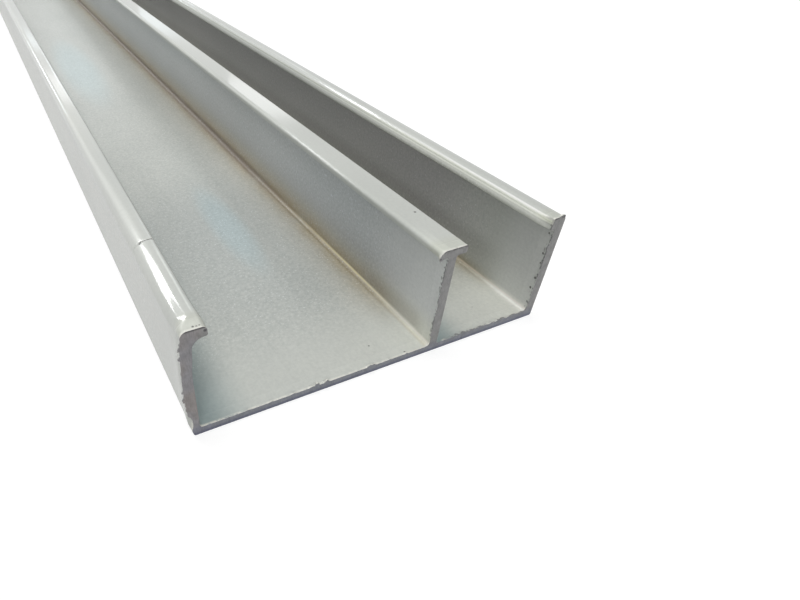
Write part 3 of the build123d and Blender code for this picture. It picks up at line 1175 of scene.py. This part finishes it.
def make_world():
    """A plain studio sky, brighter to the eye than as light."""
    world = bpy.data.worlds.new("studio")
    bpy.context.scene.world = world
    world.use_nodes = True
    tree = world.node_tree
    tree.nodes.clear()
    strength = math_of(tree, "MULTIPLY_ADD", seen_directly(tree), SKY_SEEN - SKY_FOR_LIGHT, SKY_FOR_LIGHT)
    sky = make_node(tree, "ShaderNodeBackground", Strength=strength)
    make_node(tree, "ShaderNodeOutputWorld", Surface=sky.outputs[0])


# Lamps stand round the near end, each turned to it
LIT_PLACE = Vector((0.0, -0.45, 0.0))
LAMP_DISTANCE = 1.8
WHITE = (1.0, 1.0, 1.0)
COOL = (0.82, 0.94, 1.0)

# Name, bearing from the far end's direction to the right, elevation, size, watts, colour and roll.
# Angles are in degrees and sizes in metres.
LAMPS = (
    ("high_front", -165.0, 60.0, (0.8, 0.5), 12.0, WHITE, 0.0),
    ("overhead", 0.0, 80.0, (0.8, 0.5), 8.0, WHITE, 0.0),
    ("low_left", -90.0, 15.0, (0.8, 0.5), 1.0, WHITE, 0.0),
    ("low_front", -150.0, 12.0, (0.8, 0.5), 5.0, WHITE, 0.0),
    ("lip_shine", -21.8, 30.2, (1.1, 0.2), 7.0, WHITE, -34.0),
    ("middle_lip_shine", 4.4, 16.2, (0.22, 0.08), 0.06, WHITE, 0.0),
    ("back_lip_shine", 3.2, 12.2, (0.16, 0.04), 0.02, COOL, 0.0),
    ("far_lip_shine", -11.0, 12.0, (0.12, 0.2), 0.25, COOL, 0.0),
    ("cap_shine", 24.0, 18.5, (0.22, 0.12), 0.1, WHITE, 0.0),
    ("far_cap_shine", 15.0, 11.5, (0.16, 0.08), 0.03, COOL, 0.0),
    ("base_shine", 20.0, 30.0, (0.3, 0.3), 0.5, COOL, 0.0),
    ("far_base_shine", 7.0, 14.0, (0.2, 0.1), 0.1, COOL, 0.0),
    ("edge_shine", -50.0, 15.0, (0.4, 0.15), 0.25, WHITE, 0.0),
)


def make_lamp(name, bearing, elevation, size, watts, colour, roll):
    """A soft lamp that faces the near end."""
    data = bpy.data.lights.new(name, "AREA")
    data.shape = "RECTANGLE"
    data.size, data.size_y = size
    data.energy = watts
    data.color = colour
    turn, rise = math.radians(bearing), math.radians(elevation)
    away = Vector((math.sin(turn) * math.cos(rise), math.cos(turn) * math.cos(rise), math.sin(rise)))
    facing = (-away).to_track_quat("-Z", "Y").to_matrix() @ Matrix.Rotation(math.radians(roll), 3, "Z")
    lamp = bpy.data.objects.new(name, data)
    lamp.location = LIT_PLACE + away * LAMP_DISTANCE
    lamp.rotation_euler = facing.to_euler()
    bpy.context.scene.collection.objects.link(lamp)


# Camera, solved from the edges of the section in the photograph: pixels, millimetres and directions
IMAGE_WIDTH = 800
IMAGE_HEIGHT = 600
SENSOR_WIDTH = 36.0
FOCAL_PIXELS = 560.3
AXIS_PIXEL = (270.5, 341.5)
CAMERA_PLACE = (-42.69, -552.41, 64.68)
CAMERA_RIGHT = (0.90724, -0.42020, -0.01842)
CAMERA_UP = (0.29216, 0.59808, 0.74629)

# Nearest and farthest that the camera sees, in metres
CLIP = (0.01, 50.0)


def make_camera():
    """The photograph's camera, with its picture cut from beside the lens's axis."""
    data = bpy.data.cameras.new("camera")
    data.sensor_width = SENSOR_WIDTH
    data.lens = FOCAL_PIXELS * SENSOR_WIDTH / IMAGE_WIDTH
    data.shift_x = (IMAGE_WIDTH / 2 - AXIS_PIXEL[0]) / IMAGE_WIDTH
    data.shift_y = (AXIS_PIXEL[1] - IMAGE_HEIGHT / 2) / IMAGE_WIDTH
    data.clip_start, data.clip_end = CLIP
    camera = bpy.data.objects.new("camera", data)
    right = Vector(CAMERA_RIGHT).normalized()
    back = right.cross(Vector(CAMERA_UP)).normalized()
    up = back.cross(right)
    turn = Matrix((right, up, back)).transposed().to_4x4()
    camera.matrix_world = Matrix.Translation(Vector(CAMERA_PLACE) * MM) @ turn
    bpy.context.scene.collection.objects.link(camera)
    bpy.context.scene.camera = camera


extrusion = build_extrusion()
bpy.context.scene.collection.objects.link(extrusion)
extrusion.data.materials.append(coated_material())
extrusion.data.materials.append(bare_material())
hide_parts("extrusion")
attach(extrusion, "root")

make_floor()
make_world()
for lamp in LAMPS:
    make_lamp(*lamp)
make_camera()
bpy.context.scene.view_settings.view_transform = "Standard"
